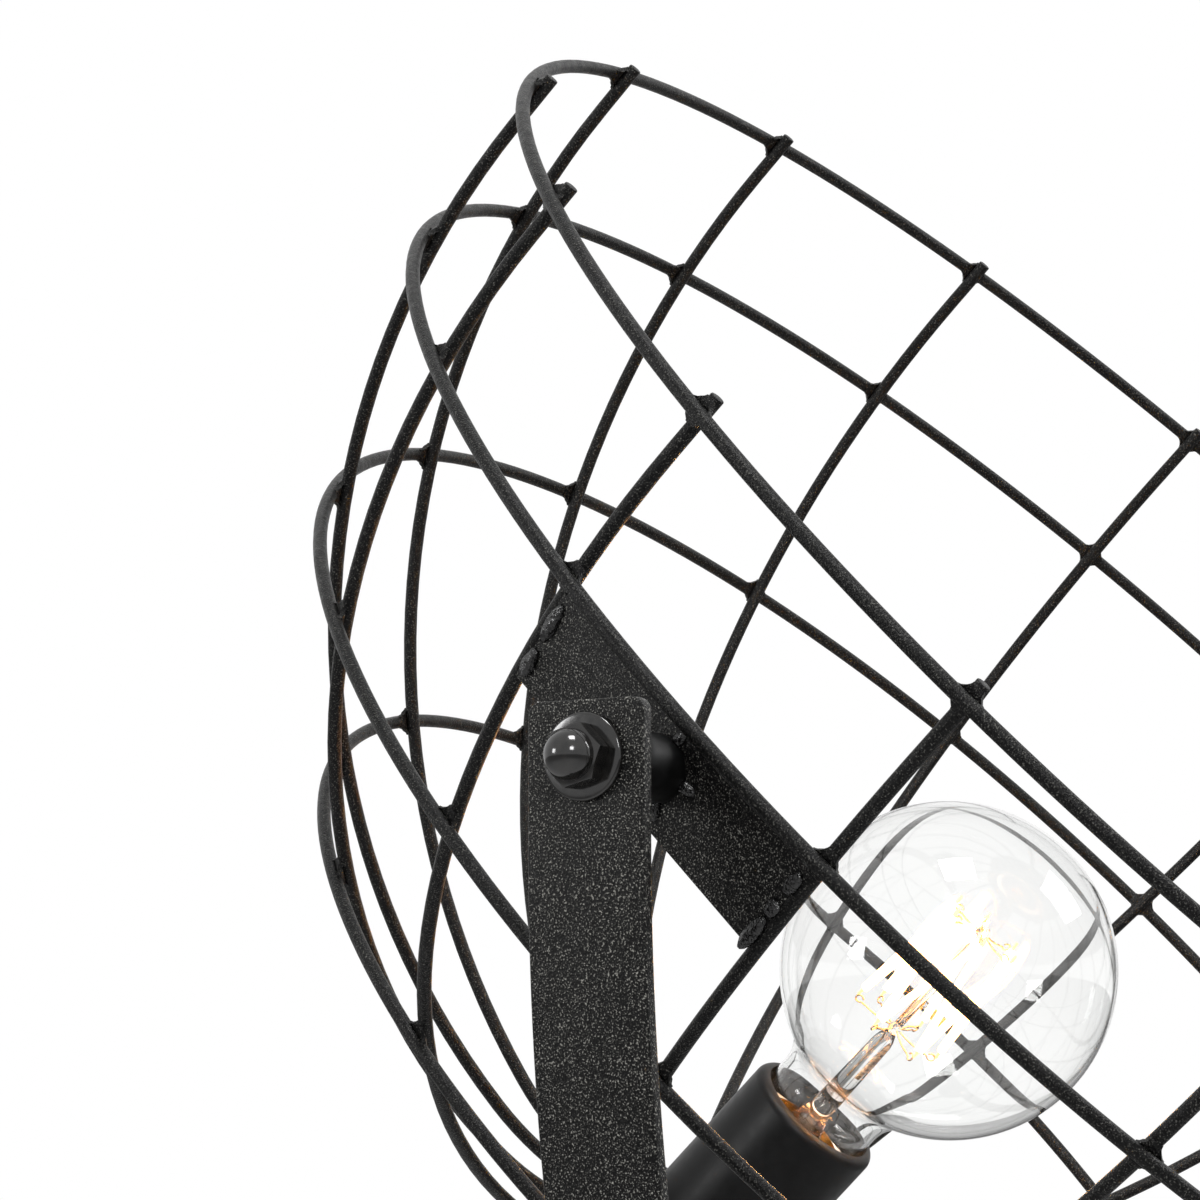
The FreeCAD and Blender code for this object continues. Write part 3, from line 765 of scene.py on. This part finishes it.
class LAMP_OT_pivot_hardware(bpy.types.Operator):
    """Turn the bosses, washers, bolts and acorn nuts on the tilt axis"""
    bl_idname = "lamp.pivot_hardware"
    bl_label = "Pivot hardware"

    def execute(self, context):
        width = context.scene.lamp_pivot.nut_width
        boss, bolt, nut, washer, friction = [], [], [], [], []
        for side in (1, -1):
            boss.append(lay_along_x(turn_piece("boss", [
                (PIVOT_BORE, 0), (0.0075, 0), (0.008, BOSS_EDGE), (0.008, BOSS_LENGTH - BOSS_EDGE),
                (0.0075, BOSS_LENGTH), (PIVOT_BORE, BOSS_LENGTH)], sides=64), BOSS_X, side))
            bolt.append(lay_along_x(hexagon("bolt_head", 0.013, -0.0053, 0), BOSS_X, side))
            bolt.append(lay_along_x(turn_piece("bolt_shank", [
                (0, 0), (0.004, 0), (0.004, 0.049), (0.0035, 0.0496), (0, 0.0496)], sides=48), BOSS_X, side))
            friction.append(lay_along_x(turn_piece("friction", [
                (PIVOT_BORE, 0), (0.0088, 0), (0.009, 0.0002), (0.009, 0.0008), (0.0088, 0.001),
                (PIVOT_BORE, 0.001)], sides=64), FRICTION_X, side))
            washer.append(lay_along_x(turn_piece("washer", [
                (PIVOT_BORE, 0), (0.0097, 0), (0.01, 0.0003)] + arc((0.0094, 0.001), 0.0006, 0, 90, 4)
                + [(0.0068, 0.0016), (PIVOT_BORE, 0.0016)]), ARM_FACE_X, side))
            nut.append(lay_along_x(hexagon("nut_hex", width, 0, 0.0046, chamfer=0.0011), NUT_SEAT_X, side))
            nut.append(lay_along_x(turn_piece("nut_dome", [
                (0, 0.0005), (0.0059, 0.0005), (0.0059, 0.0046), (0.0059, 0.005)]
                + arc((0, 0.005), 0.0059, 8, 90, 14)[:-1] + [(0, 0.0109)], sides=72), NUT_SEAT_X, side))
        on_head(join_up(boss, "bosses"), "powder_coat", "satin", "pivot_bosses")
        on_head(join_up(bolt, "bolts_at_pivot"), "zinc_steel", "zinc", "pivot_bolts")
        on_head(join_up(nut, "domed_nuts"), "black_steel", "black_steel", "acorn_nuts")
        at_pivot = Matrix.Translation(pivot)
        dress(join_up(washer, "washers_outside"), "stand", "black_steel", "black_steel",
              "outer_washers", place=at_pivot)
        dress(join_up(friction, "washers_inside"), "stand", "nylon", "nylon", "friction_washers",
              place=at_pivot)
        return {"FINISHED"}


# -------- the lampholder
# Heights in the cage's own frame, and the way through for the cord.
HUB_LOW, HUB_TOP = -0.1739, -0.1719
HOLDER_FLOOR = -0.1704  # inside of the lampholder's shell
NIPPLE_LOW, NIPPLE_TOP = -0.1849, -0.1625
NIPPLE_BORE = 0.0035
MOUTH_Z = -0.1124  # of the lampholder


class LAMP_OT_hub(bpy.types.Operator):
    """Turn the hub disc, the hollow nipple with its nuts, and the cord's collar"""
    bl_idname = "lamp.hub"
    bl_label = "Hub and nipple"

    def execute(self, context):
        radius = context.scene.lamp_holder.hub_radius
        low, high, edge = HUB_LOW, HUB_TOP, 0.0007
        disc = turn_piece("hub_disc", [(0.0052, low)] + arc((radius - edge, low + edge), edge, -90, 0, 4)
                          + arc((radius - edge, high - edge), edge, 0, 90, 4) + [(0.0052, high)], sides=128)
        on_head(disc, "powder_coat", "powder", "hub_plate")
        thread = []
        for i in range(22):
            z = NIPPLE_LOW + 0.001 * i
            thread += [(0.0050, z), (0.0046, z + 0.0005)]
        nipple = turn_piece("threaded_nipple", [(NIPPLE_BORE, NIPPLE_LOW)] + thread
                            + [(0.0050, NIPPLE_TOP), (NIPPLE_BORE, NIPPLE_TOP)], sides=48)
        on_head(nipple, "zinc_steel", "zinc", "hollow_nipple")
        nuts = [hexagon("nut", 0.014, z, z + 0.004) for z in (HOLDER_FLOOR, -0.1779)]
        on_head(join_up(nuts, "nuts_on_nipple"), "zinc_steel", "zinc", "nipple_nuts")
        collar = turn_piece("cord_collar", [
            (NIPPLE_BORE, -0.1919), (0.0050, -0.1919), (0.0055, -0.1914), (0.0078, -0.1874),
            (0.0080, -0.1870), (0.0080, -0.1784), (0.0076, -0.1779), (0.00505, -0.1779),
            (0.00505, NIPPLE_LOW), (NIPPLE_BORE, NIPPLE_LOW)])
        on_head(collar, "black_insulator", "insulator", "cord_gland")
        return {"FINISHED"}


class LAMP_OT_lampholder(bpy.types.Operator):
    """Turn the lampholder's black shell, its ceramic body and the brass screw shell"""
    bl_idname = "lamp.lampholder"
    bl_label = "Lampholder"

    def execute(self, context):
        sizes = context.scene.lamp_holder
        outer, lip = sizes.shell_radius, sizes.lip
        inner, low, mouth, floor = outer - 0.0015, HUB_TOP, MOUTH_Z, HOLDER_FLOOR
        lip_at = (outer - lip, mouth - lip)
        shell = turn_piece("holder_cup", [(0.0052, low)]
                           + arc((outer - 0.0012, low + 0.0012), 0.0012, -90, 0, 5)
                           + arc(lip_at, lip, 0, 90, 10) + arc(lip_at, lip - 0.0015, 90, 0, 6)
                           + [(inner, floor), (0.0052, floor)], sides=128)
        on_head(shell, "powder_coat", "satin", "lampholder_shell")
        top = -0.1224
        body = turn_piece("ceramic_body", [
            (0.010, floor), (0.0193, floor), (0.0193, top - 0.001), (0.0183, top), (0.0147, top),
            (0.0142, top - 0.0005), (0.0142, -0.1494), (0.003, -0.1494), (0.003, -0.1624), (0.010, -0.1624)])
        on_head(body, "white_ceramic", "ceramic", "lampholder_core")
        thread = ridges(-0.1464, 0.024, 0.0138, 0.0003)
        inside = [(r - 0.0006, z) for r, z in thread[::-1]]
        screw = turn_piece("brass_thread", thread + inside)
        on_head(screw, "cap_metal", "shell", "lampholder_screw_shell")
        return {"FINISHED"}


# -------- the bulb
BULB_Z = -0.0549  # centre of the globe
TIP_Z = -0.1459  # end of the cap
CAP_TOP = -0.1199
FILAMENT_LOW, FILAMENT_HIGH = MOUTH_Z + 0.035, MOUTH_Z + 0.075
FILAMENT_REACH = 0.0145  # of its lower bends from the bulb's axis


class LAMP_OT_bulb_glass(bpy.types.Operator):
    """Blow the clear globe with its neck, inside and outside"""
    bl_idname = "lamp.bulb_glass"
    bl_label = "Bulb glass"

    def execute(self, context):
        sizes = context.scene.lamp_bulb

        def skin(inset):
            globe = sizes.globe_radius - inset
            flare = 0.012 + inset
            neck = 0.01725 - inset
            meet = degrees(acos((neck + flare) / (globe + flare)))
            flare_z = BULB_Z - (globe + flare) * sin(radians(meet))
            outline = [(0.0127 - inset, CAP_TOP - 0.006), (0.0127 - inset, CAP_TOP - 0.0005),
                       (0.0138 - inset, CAP_TOP + 0.0018), (0.0156 - inset, CAP_TOP + 0.0036),
                       (neck, CAP_TOP + 0.0058)]
            outline += arc((neck + flare, flare_z), flare, 180, 180 - meet, 12)
            outline += arc((0, BULB_Z), globe, -meet, 90, 56)[1:-1]
            return outline, (0, BULB_Z + globe)

        outside, outer_crown = skin(0)
        inside, inner_crown = skin(sizes.glass)
        glass = turn_piece("blown_globe", [outer_crown] + outside[::-1] + inside + [inner_crown], sides=128)
        on_head(glass, "clear_glass", "glass", "bulb_glass", angle=70)
        return {"FINISHED"}


class LAMP_OT_bulb_cap(bpy.types.Operator):
    """Roll the bulb's threaded cap, with the insulator and the tip that close it"""
    bl_idname = "lamp.bulb_cap"
    bl_label = "Bulb cap"

    def execute(self, context):
        low = TIP_Z + 0.005
        thread = ridges(low, CAP_TOP - low - 0.002, 0.0127, 0.0004) + [(0.0131, CAP_TOP)]
        inside = [(r - 0.0003, z) for r, z in thread[::-1]]
        cap = turn_piece("threaded_cap", thread + inside)
        on_head(cap, "cap_metal", "shell", "bulb_cap")
        plug = turn_piece("cap_insulator", [
            (0, TIP_Z + 0.0009), (0.0046, TIP_Z + 0.0009), (0.0120, low - 0.0008), (0.0123, low),
            (0.0123, low + 0.001), (0, low + 0.001)], sides=64)
        on_head(plug, "black_insulator", "insulator", "bulb_contact")
        tip = turn_piece("cap_tip", [(0, TIP_Z), (0.0028, TIP_Z), (0.0042, TIP_Z + 0.0005),
                                     (0.0045, TIP_Z + 0.0012), (0, TIP_Z + 0.0012)], sides=48)
        on_head(tip, "cap_metal", "solder")
        return {"FINISHED"}


class LAMP_OT_bulb_stem(bpy.types.Operator):
    """Draw the glass stem with its beads, and the wires that hold the filament"""
    bl_idname = "lamp.bulb_stem"
    bl_label = "Stem and supports"

    def execute(self, context):
        sizes = context.scene.lamp_bulb
        foot = CAP_TOP - 0.006
        press = FILAMENT_LOW - 0.0048
        low_bead, high_bead = FILAMENT_LOW - 0.0009, FILAMENT_HIGH - 0.0027
        outline = [(0, foot), (0.0117, foot), (0.0117, foot + 0.0008), (0.0085, foot + 0.0035),
                   (0.0052, foot + 0.0085), (0.0036, foot + 0.014), (0.0030, press - 0.002),
                   (0.0026, press), (0.0016, press + 0.0022), (0.0012, press + 0.0028)]
        for bead in (low_bead, high_bead):
            outline += arc((0, bead), 0.0021, -52, 52, 8)
        outline += [(0.0009, high_bead + 0.0022), (0, high_bead + 0.0025)]
        stem = turn_piece("glass_stem", outline, sides=48)
        on_head(stem, "clear_glass", "glass", "bulb_stem", angle=70)
        wires = []
        for reach, height, first in ((FILAMENT_REACH, low_bead, 0), (0.0112, high_bead, 1)):
            for i in range(sizes.hook_pairs):
                turn = pi * (2 * i + first) / sizes.hook_pairs
                out = Vector((cos(turn), sin(turn), 0))
                eye = [out * (reach - 0.0012) + out * 0.0012 * cos(a) + Vector((0, 0, 0.0011 * sin(a)))
                       for a in (radians(200 + 40 * k) for k in range(9))]
                line = [out * 0.0016, out * (reach * 0.45) - Vector((0, 0, 0.0009))] + eye
                line = [p + Vector((0, 0, height)) for p in line]
                wires.append(bent_wire("hook", line, 0.0005, kind="NURBS"))
        for side in (1, -1):
            wires.append(bent_wire("lead", [
                Vector((side * 0.0022, 0, press - 0.016)), Vector((side * 0.0024, 0, press - 0.004)),
                Vector((side * 0.0040, side * 0.0006, press + 0.002)),
                Vector((side * 0.0100, side * 0.0010, low_bead + 0.0004)),
                Vector((side * 0.0142, 0, low_bead + 0.0004))], 0.0006, kind="NURBS"))
        on_head(join_up(wires, "filament_hooks"), "lamp_wire", "lamp_wire", "bulb_supports", angle=70)
        return {"FINISHED"}


class LAMP_OT_bulb_filament(bpy.types.Operator):
    """String the lit filament in a zigzag between the low and high hooks"""
    bl_idname = "lamp.bulb_filament"
    bl_label = "Lit filament"

    def execute(self, context):
        sizes = context.scene.lamp_bulb

        def bend(radius, height, turn):
            return Vector((radius * cos(turn), radius * sin(turn), height))

        stops = []
        for i in range(sizes.hook_pairs):
            stops.append(bend(FILAMENT_REACH, FILAMENT_LOW, pi * 2 * i / sizes.hook_pairs))
            stops.append(bend(0.012, FILAMENT_HIGH, pi * (2 * i + 1) / sizes.hook_pairs))
        legs, ends = [], []
        for low, high in zip(stops, stops[1:]):
            legs.append(bent_wire("leg", [low.lerp(high, 0.06), low.lerp(high, 0.94)], sizes.filament * 2.5))
        for before, bend_at, after in zip([stops[1]] + stops, stops, stops[1:] + [stops[-2]]):
            ends.append(bent_wire("end", [bend_at.lerp(before, 0.08), bend_at, bend_at.lerp(after, 0.08)],
                                  sizes.filament * 0.8))
        on_head(join_up(legs, "filament_legs"), "glowing_filament", "glow", "bulb_filament", angle=70)
        on_head(join_up(ends, "filament_bends"), "glowing_filament", "ember", angle=70)
        return {"FINISHED"}


# -------- the stand
class LAMP_OT_fork(bpy.types.Operator):
    """Bend the fork from flat bar, one half drawn out and then mirrored"""
    bl_idname = "lamp.fork"
    bl_label = "Fork"

    def execute(self, context):
        sizes = context.scene.lamp_stand
        thick, wide = sizes.bar_thickness, sizes.bar_width
        low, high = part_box("fork")
        seat_z, top, reach = low.z, high.z, high.x
        long_radius, tight_radius, seat_half = 0.4125, 0.190, 0.020
        long_centre = Vector((reach - long_radius, 0, pivot.z - 0.020))
        tight_centre = Vector((seat_half, 0, seat_z + tight_radius))
        turn = degrees(acos((seat_half - long_centre.x) / (long_radius - tight_radius)))
        put_down()
        bpy.ops.mesh.primitive_plane_add(size=wide, enter_editmode=True)
        pick_all()
        stretch(thick / wide, 1, 1)
        bar = set_down("fork_bar")
        hold_in_place(bar, move(0, 0, seat_z + thick / 2) @ Matrix.Rotation(pi / 2, 4, "Y"))
        take(bar, editing=True)
        bpy.ops.mesh.select_mode(type="FACE")
        pick_all()
        push(seat_half, 0, 0)
        swing(turn - 90, tight_centre, steps=18)
        swing(-turn, long_centre, steps=40)
        push(0, 0, top - long_centre.z)
        pick("FACE", lambda middle, way: abs(middle.x) < 1e-5 and abs(way.x) > 0.9)
        bpy.ops.mesh.delete(type="FACE")
        put_down()
        modify(bar, "MIRROR", use_axis=(True, False, False), merge_threshold=1e-5)
        take(bar, editing=True)
        tidy_skin()
        drill(bar, PIVOT_BORE, pivot, BORE_DEPTH, turned=(0, pi / 2, 0))
        drill(bar, STAND_BORE, (0, 0, seat_z), 0.02)
        take(bar, editing=True)
        tidy_skin()
        pick("EDGE", lambda middle, way: abs(way.x) > 0.9 and middle.z > top - 1e-4)
        bpy.ops.mesh.bevel(offset=0.003, segments=6, affect="EDGES")
        soften(sizes.edge_round, segments=3)
        put_down()
        dress(bar, "stand", "powder_coat", "powder", "fork")
        return {"FINISHED"}


class LAMP_OT_pole(bpy.types.Operator):
    """Turn the pole, the round base with its pad, and the two bolts that hold them"""
    bl_idname = "lamp.pole"
    bl_label = "Pole and base"

    def execute(self, context):
        low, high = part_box("pole")
        radius = high.x
        tube = turn_piece("pole_tube", [
            (radius - 0.0015, low.z), (radius - 0.0004, low.z), (radius, low.z + 0.0004),
            (radius, high.z - 0.0004), (radius - 0.0004, high.z), (radius - 0.0015, high.z)])
        dress(tube, "stand", "powder_coat", "powder", "pole")
        low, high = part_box("base_plate")
        radius, soft = high.x, context.scene.lamp_stand.base_round
        foot = turn_piece("foot_disc", [
            (STAND_BORE, high.z)] + arc((radius - soft, high.z - soft), soft, 90, 0, 8)
            + [(radius, low.z + 0.0003), (radius - 0.0003, low.z), (0.011, low.z), (0.011, low.z + 0.007),
               (STAND_BORE, low.z + 0.007)], sides=192)
        dress(foot, "stand", "powder_coat", "powder", "base_plate")
        low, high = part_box("base_pad")
        radius = high.x
        pad = turn_piece("foot_pad", [(0, high.z), (radius, high.z), (radius, low.z + 0.0005),
                                      (radius - 0.0005, low.z), (0, low.z)], sides=160)
        dress(pad, "stand", "pad_rubber", "rubber", "base_pad")
        low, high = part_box("stand_bolts")
        upper_seat = high.z - 0.0064
        lower_seat = 0.009
        parts = []
        for seat, way in ((upper_seat, 1), (lower_seat, -1)):
            head = hexagon("head", 0.017, 0, 0.0064, chamfer=0.0013)
            shank = turn_piece("shank", [(0, 0.0002), (0.005, 0.0002), (0.005, -0.0212), (0.0042, -0.022),
                                         (0, -0.022)], sides=48)
            for part in (head, shank):
                flip = Matrix.Rotation(0 if way > 0 else pi, 4, "X")
                parts.append(hold_in_place(part, move(0, 0, seat) @ flip))
        dress(join_up(parts, "bolts_in_stand"), "stand", "zinc_steel", "zinc", "stand_bolts")
        return {"FINISHED"}


class LAMP_OT_hidden_solids(bpy.types.Operator):
    """Finish the solids that stay as they are, out of sight inside the lamp"""
    bl_idname = "lamp.hidden_solids"
    bl_label = "Hidden solids"

    def execute(self, context):
        for name, coat in (("pole_inserts", "zinc"), ("lampholder_contact", "brass")):
            solid = frame["nodes"][name]
            solid.data.materials.clear()
            solid.data.materials.append(finish(coat))
        return {"FINISHED"}


# -------- the studio
WHITE = (1, 1, 1, 1)
FLOOR_RADIUS = 20
FLOOR_PALENESS = 0.78  # share of plain white in the floor that the camera sees
# Each light: place, what it faces, power, width.
SOFT_LIGHTS = (((-2.6, -2.0, 2.6), (0, 0, 1.2), 48, 0.8), ((-2.4, 2.0, 1.9), (0, 0, 1.2), 26, 0.7),
               ((-0.6, -0.5, 3.4), (0, 0, 1.3), 40, 0.7), ((1.4, -1.6, 2.6), (0, 0, 1.2), 24, 0.9))
CAMERA_PLACE = (-1.0349, -0.4544, 1.2221)
CAMERA_LOOKS = (0.85451, 0.50293, 0.12991)


class LAMP_OT_studio(bpy.types.Operator):
    """Lay the pale floor, hang the soft lights and stand the camera where the photograph was taken"""
    bl_idname = "lamp.studio"
    bl_label = "Studio"

    def execute(self, context):
        settings = context.scene.lamp_studio
        put_down()
        bpy.ops.mesh.primitive_circle_add(vertices=128, radius=FLOOR_RADIUS, fill_type="NGON",
                                          location=(0, 0, -0.0005))
        floor = bpy.context.object
        floor.name = "studio_floor"
        paper = Finish("pale floor")
        fibre = paper.grain(3, detail=2.0)
        paper.colour(fibre, (0.3, shade(settings.floor_colour, 0.985)), (0.7, settings.floor_colour[:]))
        paper.set(Roughness=0.9, Specular_IOR_Level=0.1)
        # The camera sees the floor pale all over, and still sees the lamp's shadow on it.
        pale = add_node(paper.tree, "ShaderNodeEmission", Color=WHITE, Strength=1.0)
        looking = paper.tree.nodes.new("ShaderNodeLightPath")
        share = paper.tree.nodes.new("ShaderNodeMath")
        share.operation = "MULTIPLY"
        share.inputs[1].default_value = FLOOR_PALENESS
        paper.link(looking.outputs["Is Camera Ray"], share.inputs[0])
        mix_shaders(paper.tree, share.outputs[0], paper.shader, pale, paper.output.inputs["Surface"])
        floor.data.materials.append(paper.material)

        world = bpy.data.worlds.new("studio")
        context.scene.world = world
        world.use_nodes = True
        tree = world.node_tree
        tree.nodes.clear()
        seen = add_node(tree, "ShaderNodeBackground", Color=WHITE, Strength=1.0)
        even = add_node(tree, "ShaderNodeBackground", Color=WHITE, Strength=settings.fill)
        rays = tree.nodes.new("ShaderNodeLightPath")
        share = rays.outputs["Is Camera Ray"]
        for kind in ("Is Glossy Ray", "Is Transmission Ray"):
            larger = tree.nodes.new("ShaderNodeMath")
            larger.operation = "MAXIMUM"
            tree.links.new(share, larger.inputs[0])
            tree.links.new(rays.outputs[kind], larger.inputs[1])
            share = larger.outputs[0]
        output = tree.nodes.new("ShaderNodeOutputWorld")
        mix_shaders(tree, share, even, seen, output.inputs["Surface"])

        for place, aim, power, width in SOFT_LIGHTS:
            toward = Vector(aim) - Vector(place)
            bpy.ops.object.light_add(type="AREA", location=place,
                                     rotation=toward.to_track_quat("-Z", "Y").to_euler())
            lamp = bpy.context.object.data
            lamp.energy = power
            lamp.size = width

        forward = Vector(CAMERA_LOOKS).normalized()
        right = forward.cross(Vector((0, 0, 1))).normalized()
        up = right.cross(forward)
        bpy.ops.object.camera_add(location=CAMERA_PLACE)
        camera = bpy.context.object
        camera.matrix_world = (Matrix.Translation(camera.location)
                               @ Matrix((right, up, -forward)).transposed().to_4x4())
        camera.data.lens = settings.lens
        camera.data.sensor_width = 36
        camera.data.clip_end = 50
        context.scene.camera = camera
        context.scene.view_settings.view_transform = "Standard"
        return {"FINISHED"}


# -------- the sidebar
STEPS = (LAMP_OT_rings, LAMP_OT_ribs, LAMP_OT_crossing_welds, LAMP_OT_pivot_plates, LAMP_OT_pivot_hardware,
         LAMP_OT_hub, LAMP_OT_lampholder, LAMP_OT_bulb_glass, LAMP_OT_bulb_cap, LAMP_OT_bulb_stem,
         LAMP_OT_bulb_filament, LAMP_OT_fork, LAMP_OT_pole, LAMP_OT_hidden_solids, LAMP_OT_studio)
SETTINGS = {"lamp_cage": CageSizes, "lamp_pivot": PivotSizes, "lamp_stand": StandSizes,
            "lamp_holder": HolderSizes, "lamp_bulb": BulbSizes, "lamp_finishes": FinishColours,
            "lamp_studio": StudioSettings}


class LAMP_PT_sidebar(bpy.types.Panel):
    """Sizes, colours and steps of the floor lamp"""
    bl_idname = "LAMP_PT_sidebar"
    bl_label = "Wire Cage Floor Lamp"
    bl_space_type = "VIEW_3D"
    bl_region_type = "UI"
    bl_category = "Floor Lamp"

    def draw(self, context):
        for name, group in SETTINGS.items():
            box = self.layout.box()
            box.label(text=name.replace("lamp_", "").capitalize())
            for setting in group.__annotations__:
                box.prop(getattr(context.scene, name), setting)
        for step in STEPS:
            self.layout.operator(step.bl_idname)


def register():
    for group in SETTINGS.values():
        bpy.utils.register_class(group)
    for name, group in SETTINGS.items():
        setattr(bpy.types.Scene, name, PointerProperty(type=group))
    for step in STEPS:
        bpy.utils.register_class(step)
    bpy.utils.register_class(LAMP_PT_sidebar)


def unregister():
    bpy.utils.unregister_class(LAMP_PT_sidebar)
    for step in reversed(STEPS):
        bpy.utils.unregister_class(step)
    for name in SETTINGS:
        delattr(bpy.types.Scene, name)
    for group in reversed(SETTINGS.values()):
        bpy.utils.unregister_class(group)


def main():
    register()
    bpy.ops.lamp.rings()
    bpy.ops.lamp.ribs()
    bpy.ops.lamp.crossing_welds()
    bpy.ops.lamp.pivot_plates()
    bpy.ops.lamp.pivot_hardware()
    bpy.ops.lamp.hub()
    bpy.ops.lamp.lampholder()
    bpy.ops.lamp.bulb_glass()
    bpy.ops.lamp.bulb_cap()
    bpy.ops.lamp.bulb_stem()
    bpy.ops.lamp.bulb_filament()
    bpy.ops.lamp.fork()
    bpy.ops.lamp.pole()
    bpy.ops.lamp.hidden_solids()
    bpy.ops.lamp.studio()


if __name__ == "__main__":
    main()
